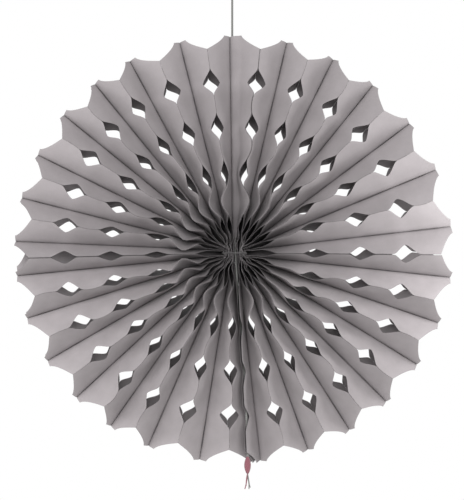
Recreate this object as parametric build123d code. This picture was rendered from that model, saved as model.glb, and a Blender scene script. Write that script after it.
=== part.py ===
from build123d import *
from itertools import product
from math import atan2, copysign, cos, radians, sin, sqrt, tan
import os

# A paper fan opened into a disc, hung on a cord. Its die-cut leaves all cross the waist, where a thread binds
# them. Each leaf is glued to one neighbour along its front and back edges and to the other along its middle
# line, so the leaves open into a ring of tubes. A flat pair of leaves in the middle holds the cord.
# Front is -Y, up is +Z, and the origin is the top of the cord's loop, where a hook carries it.

# Paper
PAPER = 0.3
GLUE = 0.16

# Leaf outline: along the leaf from its middle, and across it from its middle line
HALF_LENGTH = 195.5
PANEL = 32.0
TIP_FROM_MIDDLE = 9.3
RIM_DIP = 1.0
RIM_CUT = 14.1
HOLE_FIRST = 25.7
HOLE_COUNT = 4
HOLE_HALF_LENGTH = 10.7
HOLE_DEPTH = 13.0
HOLE_SHOULDER = 7.5
NECK_DEPTH = 25.0
WAIST_NOTCH = 6.0
WAIST_NOTCH_HALF = 4.0
SHOULDERED_HOLES = 2

# How the leaves are opened
WAIST_PITCH = 2.6
WAIST_HALF_HEIGHT = 12.0
WAIST_BELOW_MIDDLE = 3.5
TAKE_UP = 2.0
SIDE_REACH = 3.0
LEAN_BACK = 5.0
LEAN_FROM_WAIST = 15.0
SEAM_GAP = 1.2
SEAM_RISE = 3.0

# Where the valley creases point at the rim, from left to right: degrees from 12 o'clock in the upper half,
# and from 6 o'clock in the lower one. The seams are where the two halves meet.
UPPER, LOWER = 1, -1
VALLEYS = {
    UPPER: (-87, -75.5, -63.5, -51, -39.5, -28.5, -14.5, -0.5, 14, 27, 39.5, 53.5, 67.5, 83),
    LOWER: (-84, -72.5, -60, -47.5, -35.5, -24, -9.5, 6.5, 20.5, 33, 45.5, 58.5, 71, 83.5),
}
SEAMS = {UPPER: (-91.4, 90.5), LOWER: (-88.6, 89.5)}
CORD_VALLEY = 7
MIDDLE_SWING = {UPPER: 17.0, LOWER: -12.0}

# Cord and threads. The route is in shares of the half length and of the panel.
CORD = 1.9
CORD_ROOM = 1.1
CORD_JOINT = 0.2
CORD_SIDE = -0.55
CORD_PAST_RIM = 1.5
FREE_CORD = 43.0
CORD_ROUTE = ((0, 0), (-0.307, 0.188), (-0.563, 0.438), (-0.793, 0.656), (-0.936, 0.781))
ARC_SHARE = 0.45
LOOP_LENGTH = 26.0
LOOP_WIDTH = 11.0
LOOP_KNOT = 4.6
BINDING_THREAD = 0.8
BINDING_ROOM = 2.0
BINDING_CLEARANCE = 1.9
BINDING_CORNER = 2.0
TIE_DROP = 3.5
TIE_LENGTH = 15.0
TIE_WIDTH = 6.0
TIE_NECK = 2.4
TIE_WAIST = 0.55
TAIL_LENGTH = 14.0
TAIL = 1.3
TAIL_SPREAD = 4.0

# Values that follow
RIM_NOTCH = HALF_LENGTH - RIM_CUT
HOLE_PITCH = (RIM_NOTCH + HOLE_HALF_LENGTH - HOLE_FIRST) / HOLE_COUNT
GLUED_OFFSET = (PAPER + GLUE) / 2
MIDDLE_OFFSET = CORD / 2 + CORD_ROOM + PAPER / 2
POCKET = MIDDLE_OFFSET + GLUED_OFFSET
LAST_VALLEY = len(VALLEYS[UPPER]) - 1
CORD_EXIT = HALF_LENGTH + CORD_PAST_RIM
EPSILON = 0.01


def waist_start(valley, side):
    """Where a valley crosses the waist, along X. side tells the leaf left (-1) or right (1) of the cord."""
    step = valley - CORD_VALLEY
    return step * WAIST_PITCH + POCKET * (side if step == 0 else copysign(1, step))


def waist_rise(start):
    """How high a valley's straight part starts: the waist opens along an ellipse, so side leaves have room."""
    steps = CORD_VALLEY if start < 0 else LAST_VALLEY - CORD_VALLEY
    half_width = POCKET + (steps + 1) * WAIST_PITCH
    return WAIST_HALF_HEIGHT * sqrt(1 - (start / half_width) ** 2)


def crease(half, start, rise, angle, u, rim_shift=Vector()):
    """A point of a straight crease in the plane of one half: x, and the distance from the waist line."""
    if u <= WAIST_HALF_HEIGHT:
        return Vector(start, rise * u / WAIST_HALF_HEIGHT)
    turn = radians(angle)
    reach = HALF_LENGTH + half * WAIST_BELOW_MIDDLE * cos(turn) + SIDE_REACH * abs(sin(turn))
    foot = Vector(start, rise)
    span = Vector(reach * sin(turn), reach * cos(turn)) + rim_shift - foot
    flat = HALF_LENGTH - WAIST_HALF_HEIGHT
    share = (u - WAIST_HALF_HEIGHT) / flat
    bend = TAKE_UP * (flat / span.length - 1)
    return foot + span * (share * (1 - bend * (1 - share)))


def valley_point(half, valley, side, u):
    shift = Vector(side * POCKET, 0) if valley == CORD_VALLEY else Vector()
    start = waist_start(valley, side)
    return crease(half, start, waist_rise(start), VALLEYS[half][valley], u, shift)


def seam_point(half, right, u):
    valley = LAST_VALLEY if right else 0
    start = waist_start(valley, 0) + (WAIST_PITCH / 2 if right else -WAIST_PITCH / 2)
    return crease(half, start, SEAM_RISE, SEAMS[half][right], u, Vector(0, SEAM_GAP / 2))


def ridge_point(half, ridge, u):
    """A ridge's point in its half's plane, how far it stands out of it, and how far it leans back."""
    if 0 < ridge <= LAST_VALLEY:
        before = valley_point(half, ridge - 1, 1, u)
        after = valley_point(half, ridge, -1, u)
        spot = (before + after) / 2
        lean = lean_back(u)
    else:
        spot = seam_point(half, ridge > 0, u)
        after = valley_point(half, LAST_VALLEY if ridge else 0, 0, u)
        lean = 0
    return spot, sqrt(PANEL**2 - (after - spot).length ** 2), lean


def lean_back(u):
    return radians(LEAN_BACK) * min(1, u / LEAN_FROM_WAIST)


def place(half, spot, out, lean):
    """From a half's own plane to the fan: out is towards the front."""
    y = spot.Y * sin(lean) - out * cos(lean)
    z = spot.Y * cos(lean) + out * sin(lean)
    return Vector(spot.X, y, half * z)


def pleat_surface(leaf):
    """The middle surface of an opened leaf: s runs along it from bottom to top, v from back to front."""
    valley, right = divmod(leaf, 2)

    def point(s, v):
        half, u = (UPPER if s >= 0 else LOWER), abs(s)
        fold = valley_point(half, valley, 1 if right else -1, u)
        ridge, out, lean = ridge_point(half, valley + right, u)
        inward = (ridge - fold).normalized() * GLUED_OFFSET
        inner = place(half, fold + inward, 0, lean_back(u))
        outer = place(half, ridge - inward, copysign(out, v), lean)
        return inner + (outer - inner) * (abs(v) / PANEL)

    return point


def middle_surface(offset):
    """The same for a leaf of the flat middle pair, which swings to one side towards each rim."""

    def point(s, v):
        half, u = (UPPER if s >= 0 else LOWER), abs(s)
        swing = MIDDLE_SWING[half] * max(0, u - WAIST_HALF_HEIGHT) / (HALF_LENGTH - WAIST_HALF_HEIGHT)
        out = sqrt(PANEL**2 - swing**2)
        across = v / PANEL
        spot = valley_point(half, CORD_VALLEY, 0, u) + Vector(offset + swing * across, 0)
        return place(half, spot, out * across, lean_back(u))

    return point


def leaf_outline(front):
    """One quarter of a leaf: the points along its middle line, and along its edge and rim.
    In front the leaf is cut back beside the waist, so that petals stand round the middle."""
    holes = [HOLE_FIRST + HOLE_PITCH * i for i in range(HOLE_COUNT)]
    fold = [(0, 0), (WAIST_HALF_HEIGHT, 0)] + [(hole, 0) for hole in holes] + [(HALF_LENGTH - RIM_DIP, 0)]
    if front:
        edge = [(u, PANEL - NECK_DEPTH) for u in (0, WAIST_HALF_HEIGHT, HOLE_FIRST)]
    else:
        edge = [(0, PANEL - WAIST_NOTCH), (WAIST_NOTCH_HALF, PANEL), (WAIST_HALF_HEIGHT, PANEL)]
    edge.append((HOLE_FIRST + HOLE_HALF_LENGTH, PANEL))
    for number, hole in enumerate(holes[1:], start=1):
        shoulders = number >= HOLE_COUNT - SHOULDERED_HOLES
        edge.append((hole - HOLE_HALF_LENGTH, PANEL))
        if shoulders:
            edge.append((hole - HOLE_HALF_LENGTH / 2, PANEL - HOLE_SHOULDER))
        edge.append((hole, PANEL - HOLE_DEPTH))
        if shoulders:
            edge.append((hole + HOLE_HALF_LENGTH / 2, PANEL - HOLE_SHOULDER))
        edge.append((hole + HOLE_HALF_LENGTH, PANEL))
    return fold, edge + [(RIM_NOTCH, PANEL), (HALF_LENGTH, TIP_FROM_MIDDLE)]


def strip(fold, edge):
    """Triangles between the middle line and the edge, from the waist to the rim."""
    triangles = []
    i = j = 0
    while i < len(fold) - 1 or j < len(edge) - 1:
        along_fold = j == len(edge) - 1 or (i < len(fold) - 1 and fold[i + 1][0] < edge[j + 1][0])
        tip = fold[i + 1] if along_fold else edge[j + 1]
        triangles.append((fold[i], edge[j], tip))
        i, j = (i + 1, j) if along_fold else (i, j + 1)
    return triangles


def normal(point, s, v):
    along = point(s + EPSILON, v) - point(s - EPSILON, v)
    across = point(s, min(v + EPSILON, PANEL)) - point(s, max(v - EPSILON, -PANEL))
    return along.cross(across).normalized()


def leaf_solid(point):
    """A leaf of even thickness about its middle surface, as flat facets."""
    skins = {}

    def skin(s, v, sign):
        if (s, v) not in skins:
            centre, half_sheet = point(s, v), normal(point, s, v) * (PAPER / 2)
            skins[s, v] = {1: centre + half_sheet, -1: centre - half_sheet}
        return skins[s, v][sign]

    facets = []
    for along, across in product((1, -1), (1, -1)):
        fold, edge = leaf_outline(across > 0)
        rim = edge + [fold[-1]]
        for triangle in strip(fold, edge):
            corners = [(along * u, across * v) for u, v in triangle]
            facets += [[skin(s, v, sign) for s, v in corners] for sign in (1, -1)]
        for (u1, v1), (u2, v2) in zip(rim, rim[1:]):
            first, second = (along * u1, across * v1), (along * u2, across * v2)
            facets.append([skin(*first, 1), skin(*second, 1), skin(*second, -1)])
            facets.append([skin(*first, 1), skin(*second, -1), skin(*first, -1)])
    return Solid(Shell([Face(Wire.make_polygon(facet)) for facet in facets]))


def tube(points, diameter):
    """A cord along straight runs joined by arcs as large as the runs allow."""
    runs = [b - a for a, b in zip(points, points[1:])]
    radii = []
    for one, two in zip(runs, runs[1:]):
        half_turn = radians(one.get_angle(two)) / 2
        radii.append(ARC_SHARE * min(one.length, two.length) / tan(half_turn))
    path = FilletPolyline(*points, radius=radii) if radii else Line(*points)
    return sweep(Plane(path @ 0, z_dir=path % 0) * Circle(diameter / 2), path=path)


def binding_thread():
    """A thread round the pack's waist, drawn tight in front of the necks and into the notches behind."""
    notch_angle = atan2(WAIST_NOTCH_HALF, WAIST_NOTCH)
    back = PANEL - WAIST_NOTCH + BINDING_THREAD / 2 / sin(notch_angle) + BINDING_CLEARANCE
    front = NECK_DEPTH - PANEL - BINDING_THREAD / 2 - GLUE
    left = seam_point(UPPER, False, 0).X - BINDING_ROOM
    right = seam_point(UPPER, True, 0).X + BINDING_ROOM
    middle = Pos((left + right) / 2, (front + back) / 2)
    loop = middle * RectangleRounded(right - left, back - front, BINDING_CORNER)
    path = Wire(loop.edges())
    return sweep(Plane(path @ 0, z_dir=path % 0) * Circle(BINDING_THREAD / 2), path=path)


def hanging_loop(knot):
    """A teardrop of cord above a round knot."""
    side = LOOP_WIDTH / 2 - CORD / 2
    top = LOOP_LENGTH - CORD / 2 - side
    arc = CenterArc((0, top), side, 0, 180)
    legs = [Line((0, 0), arc @ 0), Line(arc @ 1, (0, 0))]
    cord = Circle(CORD / 2)
    pieces = [sweep(Plane(line @ 0, z_dir=line % 0) * cord, path=line) for line in [legs[0], arc, legs[1]]]
    upright = Plane.XZ * (pieces[0] + pieces[1] + pieces[2])
    return Pos(knot) * (upright + Sphere(LOOP_KNOT / 2))


def thread_tie():
    """Thread wound round the cord's lower end, a spindle with its thin end down."""
    outline = Spline(
        (CORD / 2, 0),
        (TIE_WIDTH / 2, -TIE_WAIST * TIE_LENGTH),
        (TIE_NECK / 2, -TIE_LENGTH),
    )
    flat = make_face([outline, Polyline(outline @ 1, (0, -TIE_LENGTH), (0, 0), outline @ 0)])
    return revolve(Plane.XZ * flat, Axis.Z)


def build_parts():
    parts = {}
    for leaf in range(2 * (LAST_VALLEY + 1)):
        parts[f"leaf_{leaf + 1:02d}"] = leaf_solid(pleat_surface(leaf))
    parts["middle_leaf_left"] = leaf_solid(middle_surface(-MIDDLE_OFFSET))
    parts["middle_leaf_right"] = leaf_solid(middle_surface(MIDDLE_OFFSET))
    parts["binding_thread"] = binding_thread()

    pocket = middle_surface(0)
    rim = pocket(CORD_EXIT, 0)
    knot = Vector(rim.X, rim.Y, CORD_EXIT + FREE_CORD)
    parts["hanging_cord"] = tube([knot, rim], CORD)
    parts["hanging_loop"] = hanging_loop(knot) - parts["hanging_cord"]

    route = [pocket(CORD_EXIT - CORD_JOINT, 0)]
    for along, across in CORD_ROUTE:
        route.append(pocket(along * HALF_LENGTH, across * PANEL) + Vector(CORD_SIDE if across else 0, 0, 0))
    end = route[-1] + Vector(0, 0, -TIE_DROP)
    parts["inner_cord"] = tube(route + [end], CORD)
    parts["thread_tie"] = Pos(end) * thread_tie()
    neck = end - Vector(0, 0, TIE_LENGTH)
    for name, side in (("thread_tail", -1), ("cord_tail", 1)):
        root = neck + Vector(side * (TAIL / 2 + GLUE), 0, -CORD_JOINT)
        tip = root + Vector(side * TAIL_SPREAD / 2, 0, -TAIL_LENGTH)
        parts[name] = tube([root, tip], TAIL)

    hook = knot + Vector(0, 0, LOOP_LENGTH - CORD)
    return {name: Pos(-hook) * shape for name, shape in parts.items()}


os.makedirs("parts", exist_ok=True)
for node, shape in build_parts().items():
    export_step(shape, f"parts/{node}.step")
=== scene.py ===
from math import copysign, cos, pi, radians, sin, sqrt

import bpy
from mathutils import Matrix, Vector, noise


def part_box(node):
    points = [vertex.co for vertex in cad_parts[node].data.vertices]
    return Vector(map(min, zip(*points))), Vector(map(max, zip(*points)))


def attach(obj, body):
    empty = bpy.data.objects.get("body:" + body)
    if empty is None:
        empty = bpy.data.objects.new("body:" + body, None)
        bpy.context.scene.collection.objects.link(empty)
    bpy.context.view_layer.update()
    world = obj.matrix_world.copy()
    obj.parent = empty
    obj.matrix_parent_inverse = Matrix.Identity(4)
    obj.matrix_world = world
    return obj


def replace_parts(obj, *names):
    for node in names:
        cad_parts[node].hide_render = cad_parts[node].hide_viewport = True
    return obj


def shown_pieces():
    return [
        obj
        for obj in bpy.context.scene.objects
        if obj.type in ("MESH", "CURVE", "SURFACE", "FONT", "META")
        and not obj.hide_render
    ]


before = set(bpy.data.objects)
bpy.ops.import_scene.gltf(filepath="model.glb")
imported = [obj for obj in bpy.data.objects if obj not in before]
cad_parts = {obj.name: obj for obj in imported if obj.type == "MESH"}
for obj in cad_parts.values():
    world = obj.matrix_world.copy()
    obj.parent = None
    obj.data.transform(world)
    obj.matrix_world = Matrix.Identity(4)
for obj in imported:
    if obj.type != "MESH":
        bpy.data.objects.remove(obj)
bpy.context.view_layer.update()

# A paper fan opened into a disc, hung on a cord. The leaves' shape is worked out in millimetres about the waist,
# as in the part's source, and then set in the frame: front is -Y, up is +Z, the origin is the top of the loop.
MM = 0.001

# Leaf outline: along the leaf from its middle (u), and across it from its middle line (v)
HALF_LENGTH = 195.5
PANEL = 32.0
TIP_FROM_MIDDLE = 9.3
RIM_DIP = 1.0
RIM_CUT = 14.1
RIM_CURVE = 1.5
HOLE_FIRST = 25.7
HOLE_PITCH = 41.6
HOLE_COUNT = 4
HOLE_HALF_LENGTH = 12.6
HOLE_DEPTH = 13.0
HOLE_STRAIGHT = 0.4
NECK_DEPTH = 24.0
NECK_FROM = 20.0
NECK_TO = 33.0
HOLES = [HOLE_FIRST + HOLE_PITCH * i for i in range(HOLE_COUNT)]
RIM_NOTCH = HALF_LENGTH - RIM_CUT

# How the leaves are opened. The middle pair's edges have one offset behind and one in front.
PAPER = 0.16
GLUED_OFFSET = PAPER / 2
WAIST_PITCH = 1.15
WAIST_HALF_HEIGHT = 5.0
WAIST_BELOW_MIDDLE = 3.5
TAKE_UP = 2.0
LEAN_BACK = 5.0
LEAN_FROM_WAIST = 15.0
SEAM_GAP = 0.8
SEAM_RISE = 0.06
SIDE_REACH = 3.0
MIDDLE_OFFSET = 2.2
MIDDLE_EDGE_OFFSET = (0.1, 0.8)
POCKET = MIDDLE_OFFSET + GLUED_OFFSET

# Where the valley creases point at the rim, from left to right: degrees from 12 o'clock in the upper half, and
# from 6 o'clock in the lower one. The seams, left and right, are where the two halves meet. The back edge of a seam
# is higher than the front one: at the waist, and at the rim.
UPPER, LOWER = 1, -1
VALLEYS = {
    UPPER: (-87, -75.5, -63.5, -51, -39.5, -28.5, -14.5, -0.5, 14, 27, 39.5, 53.5, 67.5, 83),
    LOWER: (-84, -72.5, -60, -47.5, -35.5, -24, -9.5, 6.5, 20.5, 33, 45.5, 58.5, 71, 83.5),
}
SEAMS = {UPPER: (-91.4, 90.5), LOWER: (-88.6, 89.5)}
SEAM_BACK_RISE = ((14.0, 22.0), (14.0, 0.0))
CORD_VALLEY = 7
LAST_VALLEY = len(VALLEYS[UPPER]) - 1

# The middle pair: how far its edges swing at the rim, and how its upper half is laid against the panels beside it
MIDDLE_SWING = {UPPER: 0.0, LOWER: -12.0}
LAID_GAP = 0.3
LAID_FROM_FOLD = 8.0
LAID_FROM_WAIST = 24.0

# How the paper bends: the shares of a panel that curve out of its valley and into its ridge, the wave that is left
# in the sheet, and how far the ridges bow between the holes
VALLEY_CURVE = 0.16
RIDGE_CURVE = 0.03
WAVE = 0.6
WAVE_LENGTH = 38.0
RIDGE_BOW = 4.5

# The petals beside the waist: how far a front ridge turns from the upright axis there, how far it comes back at the
# first hole (left, right), and how the turn grows with each degree from the axis (left, right)
PETAL_SPREAD = 5.6
PETAL_FROM_WAIST = 43.0
PETAL_LENGTH = 15.0
PETAL_RETURN = (2.0, 4.5)
RETURN_LENGTH = 24.0
PETAL_FULL_ANGLE = 2.0
PETAL_GAIN = (0.0067, -0.02)

# The cut-back necks in front of the waist, and how they wave
NECK_WAVE = 6.0
NECK_WAVE_LENGTH = 11.0
NECK_WAVE_ACROSS = 0.4
NECK_PINCH = 8.0

# Paper: cloudy tones and fibres as noise (scale, detail), and where its tones begin and end. Shade is painted into the
# tone: the painted shade's span gives the distances along the leaf, in metres, between which the tone goes from its
# share at the waist to its share at the rim. The shares are given for the sheets and for the cut edges. The sheets are
# painted darker beside the waist. The cut edges keep full tone there and are painted darker away from it, out to the
# rim.
PAPER_TONES = ((0.235, 0.217, 0.222), (0.268, 0.248, 0.254))
CLOUD, CLOUD_RANGE = (55, 4), (0.3, 0.7)
FIBRE, FIBRE_RANGE = (1400, 3), (0.3, 0.75)
FIBRE_TONES = ((0.90, 0.90, 0.90), (1, 1, 1))
PAPER_BUMP = (0.25, 0.0002)
PAPER_ROUGHNESS, PAPER_GLOSS = 0.8, 0.2
PAINTED_SHADE_SPAN = (0.008, 0.058)
SHEET_PAINTED_SHADE, EDGE_PAINTED_SHADE = (0.4, 1), (1, 0.6)

# Cord and thread: fibres and a twist of two tones
CORD_TONES = ((0.08, 0.08, 0.077), (0.16, 0.16, 0.153))
CORD_FINENESS = 2200
BINDING_TONES = ((0.03, 0.028, 0.028), (0.07, 0.066, 0.066))
PINK_TONES = ((0.08, 0.018, 0.03), (0.25, 0.09, 0.11))
THREAD_FINENESS = 3000
THREAD_DETAIL = 3
TWIST_FINENESS = 6.0
TWIST_DISTORTION = 1.5
TWIST_SHARE = 0.5
THREAD_RANGE = (0.25, 0.75)
THREAD_BUMP = (0.7, 0.0004)
THREAD_ROUGHNESS, THREAD_SHEEN = 0.9, 0.2

# Mesh steps across a panel, and along the leaf's cuts as shares of their length
PANEL_STEPS = 8
CUT_STEPS = (-1, -0.86, -0.7, -0.52, -0.34, -0.16, 0, 0.16, 0.34, 0.52, 0.7, 0.86, 1)
RIM_STEPS = (0, 0.12, 0.26, 0.42, 0.58, 0.72, 0.84, 0.92, 0.97, 1)
PLAIN_STEPS = 6
NECK_STEPS = 12

# Cord, loop, tie and threads. Half of the loop's line is in shares of its half-width and height. A strand of a loose
# end is how far it goes sideways and back, and its share of the end's length.
CORD = 1.9
CORD_EXIT = 197.0
FREE_CORD = 43.0
LOOP_LENGTH = 26.0
LOOP_WIDTH = 11.0
LOOP_HALF = ((0, 0), (1, 0.35), (1, 0.9), (0.45, 1))
TIE_LENGTH = 15.0
TIE_WIDTH = 6.0
TIE_NECK = 2.4
TIE_TURNS = 16
TIE_STEPS = 14
THREAD = 0.9
THREAD_STRANDS = ((0.6, 0.4, 1.0), (-0.5, -0.3, 0.8))
CORD_STRANDS = ((0.5, -0.4, 1.0), (-0.6, 0.3, 0.9), (0.1, 0.5, 0.75))
BINDING_THREAD = 0.8
BINDING_CORNER = 1.5
KNOT_STEPS = 24
KNOT_SIZE = 0.55
ROUND_STEPS = 4
SPLINE_ORDER = 3

# Photograph, and the camera: its distance in metres, and how far it stands to the left in degrees
IMAGE_WIDTH, IMAGE_HEIGHT = 464, 500
WAIST_PIXEL = (235, 253)
MM_PER_PIXEL = 0.905
CAMERA_DISTANCE = 1.6
CAMERA_LEFT = 2.5
SENSOR = 36.0

# Floor and light, in metres and watts. The lights stand about the waist: name, place, size, power.
FLOOR_BELOW_WAIST = 1.25
FLOOR_RADIUS = 6.0
FLOOR_TONE = (0.85, 0.85, 0.84, 1)
FLOOR_ROUGHNESS = 0.9
WHITE = (1, 1, 1, 1)
ROOM_LIGHT = 0.6
LIGHTS = (
    ("left_softbox", (-0.85, -0.11, 0), (0.35, 0.35), 1.8),
    ("right_softbox", (0.8, -0.11, 0), (0.35, 0.35), 1.8),
    ("left_rim_softbox", (-0.42, -0.3, 0), (0.2, 0.2), 0.75),
    ("right_rim_softbox", (0.25, -0.09, 0), (0.08, 0.08), 0.2),
    ("back_softbox", (0, 2.2, 0.5), (1.6, 1.2), 50),
    ("front_softbox", (0, -2.2, 0.5), (1.6, 1.2), 68),
)


def smooth(t):
    return t * t * (3 - 2 * t)


def bell(x):
    return max(0, 1 - x * x) ** 2


def waist_start(valley, side):
    """Where a valley crosses the waist, along X. side tells the leaf left (-1) or right (1) of the cord."""
    step = valley - CORD_VALLEY
    return step * WAIST_PITCH + POCKET * (side if step == 0 else copysign(1, step))


def waist_rise(start):
    """How high a valley's straight part starts: the waist opens along an ellipse."""
    steps = CORD_VALLEY if start < 0 else LAST_VALLEY - CORD_VALLEY
    half_width = POCKET + (steps + 1) * WAIST_PITCH
    return WAIST_HALF_HEIGHT * sqrt(1 - (start / half_width) ** 2)


def crease(half, start, rise, angle, u, rim_shift):
    """A point of a crease in the plane of one half: x, and the distance from the waist line."""
    if u <= WAIST_HALF_HEIGHT:
        return Vector((start, rise * u / WAIST_HALF_HEIGHT))
    reach = HALF_LENGTH + half * WAIST_BELOW_MIDDLE * cos(radians(angle)) + SIDE_REACH * abs(sin(radians(angle)))
    foot = Vector((start, rise))
    span = Vector((reach * sin(radians(angle)), reach * cos(radians(angle)))) + rim_shift - foot
    flat = HALF_LENGTH - WAIST_HALF_HEIGHT
    share = (u - WAIST_HALF_HEIGHT) / flat
    bend = TAKE_UP * (flat / span.length - 1)
    return foot + span * (share * (1 - bend * (1 - share)))


def valley_point(half, valley, side, u):
    shift = Vector((side * POCKET if valley == CORD_VALLEY else 0, 0))
    start = waist_start(valley, side)
    return crease(half, start, waist_rise(start), VALLEYS[half][valley], u, shift)


def seam_point(half, right, u):
    start = waist_start(LAST_VALLEY if right else 0, 0) + (WAIST_PITCH / 2 if right else -WAIST_PITCH / 2)
    return crease(half, start, SEAM_RISE, SEAMS[half][right], u, Vector((0, SEAM_GAP / 2)))


def lean_back(u):
    return radians(LEAN_BACK) * min(1, u / LEAN_FROM_WAIST)


def petal_spread(half, ridge, u):
    """How far a front ridge turns from the upright axis beside the waist, and back at the first hole.
    It is more on the left than on the right."""
    angle = (VALLEYS[half][ridge - 1] + VALLEYS[half][ridge]) / 2
    gain = max(0, 1 + abs(angle) * PETAL_GAIN[angle > 0])
    turn = PETAL_SPREAD * gain * bell((u - PETAL_FROM_WAIST) / PETAL_LENGTH)
    turn -= PETAL_RETURN[angle > 0] * bell((u - HOLES[1]) / RETURN_LENGTH)
    return turn * copysign(min(1, abs(angle) / PETAL_FULL_ANGLE), angle)


def ridge_point(half, ridge, u, front):
    """A ridge's point in its half's plane, how far it stands out of it, and how far it leans back."""
    if 0 < ridge <= LAST_VALLEY:
        before = valley_point(half, ridge - 1, 1, u)
        after = valley_point(half, ridge, -1, u)
        spot = (before + after) / 2
        out = sqrt(PANEL**2 - (after - spot).length ** 2)
        along = (after - before).normalized()
        gap, share = divmod(max(0, u - HOLES[1]) / HOLE_PITCH, 1)
        bow = RIDGE_BOW * sin(pi * share) ** 2 * noise.noise(Vector((half * (gap + 0.5), ridge * pi, 0)))
        petal = petal_spread(half, ridge, u) if front else 0
        return spot + along * (petal + bow), out, lean_back(u)
    spot = seam_point(half, ridge > 0, u)
    after = valley_point(half, LAST_VALLEY if ridge else 0, 0, u)
    out = sqrt(PANEL**2 - (after - spot).length ** 2)
    if not front:
        near, far = SEAM_BACK_RISE[ridge > 0]
        spot = spot + Vector((0, half * (near + (far - near) * u / HALF_LENGTH) * min(1, u / PANEL)))
    return spot, out, 0


def place(half, spot, out, lean):
    """From a half's own plane to the fan: out is towards the front."""
    y = spot.y * sin(lean) - out * cos(lean)
    z = spot.y * cos(lean) + out * sin(lean)
    return Vector((spot.x, y, half * z))


def across_share(t):
    """How much of the way from valley to ridge the paper has gone, with a soft bend at both creases."""
    slope = 1 / (1 - (VALLEY_CURVE + RIDGE_CURVE) / 2)
    if t < VALLEY_CURVE:
        return slope * t * t / (2 * VALLEY_CURVE)
    if t > 1 - RIDGE_CURVE:
        return 1 - slope * (1 - t) ** 2 / (2 * RIDGE_CURVE)
    return slope * (t - VALLEY_CURVE / 2)


def pleat_surface(leaf):
    """The middle surface of an opened leaf: s runs along it from bottom to top, v from back to front."""
    valley, right = divmod(leaf, 2)

    def point(s, v):
        half, u = (UPPER if s >= 0 else LOWER), abs(s)
        fold = valley_point(half, valley, 1 if right else -1, u)
        ridge, out, lean = ridge_point(half, valley + right, u, v >= 0)
        inward = (ridge - fold).normalized() * GLUED_OFFSET
        t = abs(v) / PANEL
        share = across_share(t)
        inner = place(half, fold + inward, 0, lean_back(u))
        base = place(half, ridge - inward, 0, lean)
        outer = place(half, ridge - inward, copysign(out, v), lean)
        wave = WAVE * sin(pi * t) * noise.noise(Vector((s / WAVE_LENGTH, v / WAVE_LENGTH, leaf * pi)))
        sideways = Vector((inward.x, 0, half * inward.y)) * (wave / GLUED_OFFSET)
        sideways = sideways * min(1, u / PANEL)
        neck = NECK_WAVE * smooth(max(0, 1 - u / NECK_TO)) * min(1, u / NECK_PINCH) * max(0, v) / (PANEL - NECK_DEPTH)
        sideways += Vector((neck * noise.noise(Vector((s / NECK_WAVE_LENGTH, leaf * NECK_WAVE_ACROSS, 1))), 0, 0))
        return inner + (base - inner) * share + (outer - base) * t + sideways

    return point


def middle_surface(offset):
    """The same for a leaf of the flat middle pair. Its upper half lies against the panels beside it."""
    panels = (pleat_surface(2 * CORD_VALLEY), pleat_surface(2 * CORD_VALLEY + 1))
    layer = 1 if offset > 0 else 2

    def point(s, v):
        half, u = (UPPER if s >= 0 else LOWER), abs(s)
        swing = MIDDLE_SWING[half] * max(0, u - WAIST_HALF_HEIGHT) / (HALF_LENGTH - WAIST_HALF_HEIGHT)
        out = sqrt(PANEL**2 - swing**2)
        across = v / PANEL
        spread = offset * (1 + (MIDDLE_EDGE_OFFSET[v > 0] / MIDDLE_OFFSET - 1) * abs(across))
        spot = valley_point(half, CORD_VALLEY, 0, u) + Vector((spread + swing * across, 0))
        flat = place(half, spot, out * across, lean_back(u))
        if half == LOWER:
            return flat
        panel = panels[v > 0](s, v) + Vector((copysign(LAID_GAP, -v), -copysign(LAID_GAP, v), 0)) * layer
        return flat.lerp(panel, smooth(min(1, abs(v) / LAID_FROM_FOLD)) * min(1, u / LAID_FROM_WAIST))

    return point


def cut_depth(share):
    """The outline of half a hole: rounded at its deepest point, and drawn out to a point along the ridge."""
    t = 1 - abs(share)
    return HOLE_DEPTH * (HOLE_STRAIGHT * t + (1 - HOLE_STRAIGHT) * smooth(t))


def half_rows():
    """From the waist to the rim: how far along each row of the mesh is, and how far it reaches back and front."""
    rows = [(NECK_FROM * k / NECK_STEPS, PANEL, PANEL - NECK_DEPTH) for k in range(NECK_STEPS)]
    for share in RIM_STEPS:
        rows.append((NECK_FROM + (NECK_TO - NECK_FROM) * share, PANEL, PANEL - NECK_DEPTH * smooth(1 - share)))
    start = NECK_TO
    for hole in HOLES[1:]:
        end = hole - HOLE_HALF_LENGTH
        rows += [(start + (end - start) * k / PLAIN_STEPS, PANEL, PANEL) for k in range(1, PLAIN_STEPS)]
        for share in CUT_STEPS:
            reach = PANEL - cut_depth(share)
            rows.append((hole + HOLE_HALF_LENGTH * share, reach, reach))
        start = hole + HOLE_HALF_LENGTH
    rows += [(start + (RIM_NOTCH - start) * k / PLAIN_STEPS, PANEL, PANEL) for k in range(1, PLAIN_STEPS)]
    for share in RIM_STEPS:
        reach = TIP_FROM_MIDDLE + (PANEL - TIP_FROM_MIDDLE) * (1 - share) ** RIM_CURVE
        rows.append((RIM_NOTCH + (HALF_LENGTH - RIM_NOTCH) * share, reach, reach))
    return rows


def rim_dip(u, v):
    """The end of a leaf dips towards its fold."""
    close = max(0, (u - RIM_NOTCH) / (HALF_LENGTH - RIM_NOTCH))
    return RIM_DIP * close * max(0, 1 - abs(v) / TIP_FROM_MIDDLE)


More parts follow.
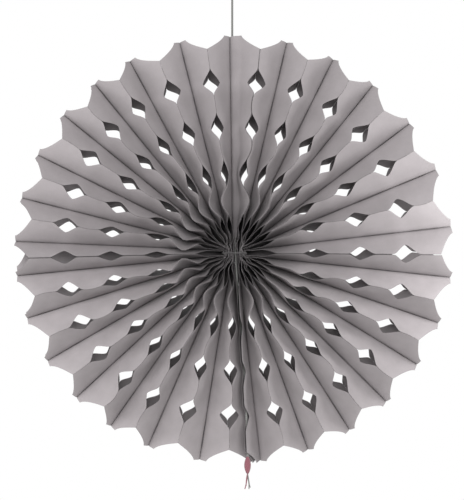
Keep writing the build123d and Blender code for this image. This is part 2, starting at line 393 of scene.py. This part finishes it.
def leaf_mesh(name, point, origin):
    """A leaf as a sheet, with its own flat coordinates as UVs, in metres."""
    upper = half_rows()
    rows = [(-u, back, front) for u, back, front in reversed(upper[1:])] + upper
    columns = 2 * PANEL_STEPS + 1
    vertices, flat = [], []
    for s, back, front in rows:
        for k in range(columns):
            share = (k - PANEL_STEPS) / PANEL_STEPS
            v = share * (front if share > 0 else back)
            along = copysign(abs(s) - rim_dip(abs(s), v), s)
            vertices.append((point(along, v) + origin) * MM)
            flat.append((along * MM, v * MM))
    faces = []
    for i in range(len(rows) - 1):
        for k in range(columns - 1):
            corner = i * columns + k
            faces.append((corner, corner + 1, corner + columns + 1, corner + columns))
    mesh = bpy.data.meshes.new(name)
    mesh.from_pydata(vertices, [], faces)
    sheet = mesh.uv_layers.new(name="sheet")
    for loop in mesh.loops:
        sheet.data[loop.index].uv = flat[loop.vertex_index]
    mesh.shade_smooth()
    return mesh


def add_piece(name, data, material):
    piece = bpy.data.objects.new(name, data)
    bpy.context.scene.collection.objects.link(piece)
    data.materials.append(material)
    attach(piece, "root")
    return piece


def link(material, out, into):
    material.node_tree.links.new(out, into)


def new_material(name):
    material = bpy.data.materials.new(name)
    material.use_nodes = True
    nodes = material.node_tree.nodes
    return material, nodes, nodes["Principled BSDF"]


def add_noise(material, vector, scale, detail):
    """Noise in the given coordinates, from 0 to 1."""
    node = material.node_tree.nodes.new("ShaderNodeTexNoise")
    node.inputs["Scale"].default_value = scale
    node.inputs["Detail"].default_value = detail
    link(material, vector, node.inputs["Vector"])
    return node.outputs["Fac"]


def add_ramp(material, fac, low, high, colours):
    """Two colours, blended between two values of fac."""
    node = material.node_tree.nodes.new("ShaderNodeValToRGB")
    for element, position, colour in zip(node.color_ramp.elements, (low, high), colours):
        element.position = position
        element.color = (*colour, 1)
    link(material, fac, node.inputs["Fac"])
    return node.outputs["Color"]


def add_bump(material, height, strength, distance):
    node = material.node_tree.nodes.new("ShaderNodeBump")
    node.inputs["Strength"].default_value = strength
    node.inputs["Distance"].default_value = distance
    link(material, height, node.inputs["Height"])
    return node.outputs["Normal"]


def multiply(material, first, second):
    node = material.node_tree.nodes.new("ShaderNodeMix")
    node.data_type = "RGBA"
    node.blend_type = "MULTIPLY"
    node.inputs["Factor"].default_value = 1
    link(material, first, node.inputs["A"])
    link(material, second, node.inputs["B"])
    return node.outputs["Result"]


def paper_material(name, painted_shade_at_waist, painted_shade_at_rim):
    """Uncoated grey paper: cloudy tone, fine fibres, a soft tooth, and shade painted into its tone, as a share of it
    at the waist and at the rim.
    """
    material, nodes, shader = new_material(name)
    place_node = nodes.new("ShaderNodeTexCoord")
    cloud = add_noise(material, place_node.outputs["UV"], *CLOUD)
    fibre = add_noise(material, place_node.outputs["UV"], *FIBRE)
    tone = add_ramp(material, cloud, *CLOUD_RANGE, PAPER_TONES)
    fleck = add_ramp(material, fibre, *FIBRE_RANGE, FIBRE_TONES)
    axes = nodes.new("ShaderNodeSeparateXYZ")
    link(material, place_node.outputs["UV"], axes.inputs["Vector"])
    along = nodes.new("ShaderNodeMath")
    along.operation = "ABSOLUTE"
    link(material, axes.outputs["X"], along.inputs[0])
    # Painted shade: the tone is multiplied by a share that runs from the waist's share to the rim's along the leaf
    painted_shade = add_ramp(material, along.outputs["Value"], *PAINTED_SHADE_SPAN, ((painted_shade_at_waist,) * 3, (painted_shade_at_rim,) * 3))
    link(material, multiply(material, multiply(material, tone, fleck), painted_shade), shader.inputs["Base Color"])
    link(material, add_bump(material, fibre, *PAPER_BUMP), shader.inputs["Normal"])
    shader.inputs["Roughness"].default_value = PAPER_ROUGHNESS
    shader.inputs["Specular IOR Level"].default_value = PAPER_GLOSS
    return material


def thread_material(name, tones, scale):
    """Spun thread: fibres in two tones, laid in a slanting twist."""
    material, nodes, shader = new_material(name)
    place_node = nodes.new("ShaderNodeTexCoord")
    fibre = add_noise(material, place_node.outputs["Object"], scale, THREAD_DETAIL)
    twist = nodes.new("ShaderNodeTexWave")
    twist.bands_direction = "DIAGONAL"
    twist.inputs["Scale"].default_value = scale / TWIST_FINENESS
    twist.inputs["Distortion"].default_value = TWIST_DISTORTION
    link(material, place_node.outputs["Object"], twist.inputs["Vector"])
    both = nodes.new("ShaderNodeMix")
    both.inputs["Factor"].default_value = TWIST_SHARE
    link(material, fibre, both.inputs["A"])
    link(material, twist.outputs["Fac"], both.inputs["B"])
    height = both.outputs["Result"]
    link(material, add_ramp(material, height, *THREAD_RANGE, tones), shader.inputs["Base Color"])
    link(material, add_bump(material, height, *THREAD_BUMP), shader.inputs["Normal"])
    shader.inputs["Roughness"].default_value = THREAD_ROUGHNESS
    shader.inputs["Sheen Weight"].default_value = THREAD_SHEEN
    return material


def add_curve(name, lines, diameter, material, cyclic=False):
    """One piece of round cord or thread along one or more smooth lines, given in metres."""
    data = bpy.data.curves.new(name, "CURVE")
    data.dimensions = "3D"
    data.bevel_depth = diameter / 2
    data.bevel_resolution = ROUND_STEPS
    data.use_fill_caps = True
    for points in lines:
        spline = data.splines.new("NURBS")
        spline.points.add(len(points) - 1)
        for control, point in zip(spline.points, points):
            control.co = (*point, 1)
        spline.order_u = SPLINE_ORDER
        spline.use_cyclic_u = cyclic
        spline.use_endpoint_u = not cyclic
    return add_piece(name, data, material)


# Two copies of the paper with painted shade: the sheets painted darker beside the waist, the cut edges darker away
# from it
paper = paper_material("fan_paper", *SHEET_PAINTED_SHADE)
paper_edge = paper_material("fan_paper_edge", *EDGE_PAINTED_SHADE)
cord_grey = thread_material("grey_cord", CORD_TONES, CORD_FINENESS)
binding_grey = thread_material("binding_thread", BINDING_TONES, THREAD_FINENESS)
thread_pink = thread_material("pink_thread", PINK_TONES, THREAD_FINENESS)

# The frame's origin is the hook, above the cord's exit
pocket = middle_surface(0)
cord_exit = pocket(CORD_EXIT, 0)
hook = Vector((cord_exit.x, cord_exit.y, CORD_EXIT + FREE_CORD + LOOP_LENGTH - CORD))
waist = -hook * MM

# Leaves: sheets that get their thickness here, with a material of their own along the cut edges that carries a painted
# shade of its own
for leaf in range(2 * (LAST_VALLEY + 1)):
    node = f"leaf_{leaf + 1:02d}"
    piece = add_piece(f"paper_{node}", leaf_mesh(node, pleat_surface(leaf), -hook), paper)
    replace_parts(piece, node)
for name, offset in (("middle_leaf_left", -MIDDLE_OFFSET), ("middle_leaf_right", MIDDLE_OFFSET)):
    piece = add_piece(f"paper_{name}", leaf_mesh(name, middle_surface(offset), -hook), paper)
    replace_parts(piece, name)
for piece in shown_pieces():
    if piece.name.startswith("paper_"):
        thickness = piece.modifiers.new("thickness", "SOLIDIFY")
        thickness.thickness = PAPER * MM
        thickness.offset = 0
        piece.data.materials.append(paper_edge)
        thickness.material_offset_rim = 1
        piece.modifiers.new("flat_to_the_edge", "WEIGHTED_NORMAL")

# The thread that holds the waist, drawn round the necks in front and the whole leaves behind
front = NECK_DEPTH - PANEL - BINDING_THREAD
back = PANEL + BINDING_THREAD
left = seam_point(UPPER, False, 0).x - BINDING_THREAD
right = seam_point(UPPER, True, 0).x + BINDING_THREAD
binding_points = []
for x, y, towards_x, towards_y in (
    (left, front, 1, 1),
    (right, front, -1, 1),
    (right, back, -1, -1),
    (left, back, 1, -1),
):
    bends = [(0, towards_y), (towards_x, 0)]
    for bend_x, bend_y in bends if towards_x == towards_y else reversed(bends):
        spot = Vector((x + bend_x * BINDING_CORNER, y + bend_y * BINDING_CORNER, 0))
        binding_points.append((spot - hook) * MM)
binding = add_curve(
    "waist_thread", [binding_points], BINDING_THREAD * MM, binding_grey, cyclic=True
)
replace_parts(binding, "binding_thread")

# Solids that stay as they are, with a better finish
for node, material in (("inner_cord", cord_grey), ("thread_tie", thread_pink)):
    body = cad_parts[node].data
    body.materials.clear()
    body.materials.append(material)

# The loop that the fan hangs by, above an overhand knot
knot = Vector((0, 0, CORD_EXIT + FREE_CORD - hook.z)) * MM
side = (LOOP_WIDTH - CORD) / 2
crown = LOOP_LENGTH - CORD / 2
loop_line = [*LOOP_HALF, *((-x, z) for x, z in reversed(LOOP_HALF))]
loop_points = [knot + Vector((x * side, 0, z * crown)) * MM for x, z in loop_line]
knot_points = []
for step in range(KNOT_STEPS):
    t = 2 * pi * step / KNOT_STEPS
    turn = Vector((sin(t) + 2 * sin(2 * t), cos(t) - 2 * cos(2 * t), -2 * sin(3 * t)))
    knot_points.append(knot + turn * (KNOT_SIZE * MM))
loop = add_curve("cord_loop", [loop_points, knot_points + knot_points[:1]], CORD * MM, cord_grey)
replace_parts(loop, "hanging_loop")

# Free cord, from the rim up to its knot
exit_point = Vector((0, 0, cord_exit.z - hook.z)) * MM
free_cord = add_curve("free_cord", [[exit_point, exit_point.lerp(knot, 0.5), knot]], CORD * MM, cord_grey)
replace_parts(free_cord, "hanging_cord")

# Pink thread wound round the cord's lower end, and the loose ends below it
tie_low, tie_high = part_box("thread_tie")
tie_top = Vector(((tie_low.x + tie_high.x) / 2, (tie_low.y + tie_high.y) / 2, tie_high.z))
wound = []
for step in range(TIE_TURNS * TIE_STEPS + 1):
    share = step / (TIE_TURNS * TIE_STEPS)
    angle = 2 * pi * step / TIE_STEPS
    neck = CORD + (TIE_NECK - CORD) * share
    radius = (neck + (TIE_WIDTH - neck) * sin(pi * share) - THREAD) / 2
    wound.append(tie_top + Vector((radius * cos(angle), radius * sin(angle), -TIE_LENGTH * share)) * MM)
add_curve("wound_thread", [wound], THREAD * MM, thread_pink)
for node, name, material, slot, strands in (
    ("thread_tail", "loose_thread", thread_pink, "pink_thread", THREAD_STRANDS),
    ("cord_tail", "loose_cord", cord_grey, "cord", CORD_STRANDS),
):
    low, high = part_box(node)
    start = tie_top - Vector((0, 0, TIE_LENGTH * MM))
    lines = []
    for sideways, curl, length in strands:
        end = Vector(((low.x + high.x) / 2, (low.y + high.y) / 2, high.z + (low.z - high.z) * length))
        middle = start.lerp(end, 0.5) + Vector((sideways, curl, 0)) * MM
        lines.append([start, middle, end + Vector((-sideways, sideways, 0)) * MM])
    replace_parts(add_curve(name, lines, THREAD * MM, material), node)

# Camera
camera_data = bpy.data.cameras.new("camera")
camera = bpy.data.objects.new("camera", camera_data)
bpy.context.scene.collection.objects.link(camera)
bpy.context.scene.camera = camera
camera_turn = radians(CAMERA_LEFT)
camera_right = Vector((cos(camera_turn), -sin(camera_turn), 0))
towards = Vector((sin(camera_turn), cos(camera_turn), 0))
aside = (IMAGE_WIDTH / 2 - WAIST_PIXEL[0]) * MM_PER_PIXEL * MM
above = (WAIST_PIXEL[1] - IMAGE_HEIGHT / 2) * MM_PER_PIXEL * MM
camera.location = waist + camera_right * aside + Vector((0, 0, above)) - towards * CAMERA_DISTANCE
camera.rotation_euler = towards.to_track_quat("-Z", "Y").to_euler()
camera_data.sensor_width = SENSOR
camera_data.lens = SENSOR * CAMERA_DISTANCE / (IMAGE_HEIGHT * MM_PER_PIXEL * MM)

# Floor, light and white surroundings
floor_mesh = bpy.data.meshes.new("floor")
floor_height = waist.z - FLOOR_BELOW_WAIST
corners = [(x * FLOOR_RADIUS, y * FLOOR_RADIUS, floor_height) for x, y in ((-1, -1), (1, -1), (1, 1), (-1, 1))]
floor_mesh.from_pydata(corners, [], [(0, 1, 2, 3)])
floor = bpy.data.objects.new("floor", floor_mesh)
bpy.context.scene.collection.objects.link(floor)
floor_material, _, floor_shader = new_material("pale_floor")
floor_shader.inputs["Base Color"].default_value = FLOOR_TONE
floor_shader.inputs["Roughness"].default_value = FLOOR_ROUGHNESS
floor_mesh.materials.append(floor_material)

for name, place_at, size, power in LIGHTS:
    data = bpy.data.lights.new(name, "AREA")
    data.shape = "RECTANGLE"
    data.size, data.size_y = size
    data.energy = power
    light = bpy.data.objects.new(name, data)
    light.location = waist + Vector(place_at)
    light.rotation_euler = (waist - light.location).to_track_quat("-Z", "Y").to_euler()
    light.visible_camera = False
    bpy.context.scene.collection.objects.link(light)

world = bpy.data.worlds.new("white_room")
bpy.context.scene.world = world
world.use_nodes = True
surround = world.node_tree.nodes["Background"]
surround.inputs["Color"].default_value = WHITE
surround.inputs["Strength"].default_value = ROOM_LIGHT
backdrop = world.node_tree.nodes.new("ShaderNodeBackground")
backdrop.inputs["Color"].default_value = WHITE
rays = world.node_tree.nodes.new("ShaderNodeLightPath")
choose = world.node_tree.nodes.new("ShaderNodeMixShader")
wires = world.node_tree.links
wires.new(rays.outputs["Is Camera Ray"], choose.inputs["Fac"])
wires.new(surround.outputs["Background"], choose.inputs[1])
wires.new(backdrop.outputs["Background"], choose.inputs[2])
wires.new(choose.outputs["Shader"], world.node_tree.nodes["World Output"].inputs["Surface"])
bpy.context.scene.view_settings.view_transform = "Standard"
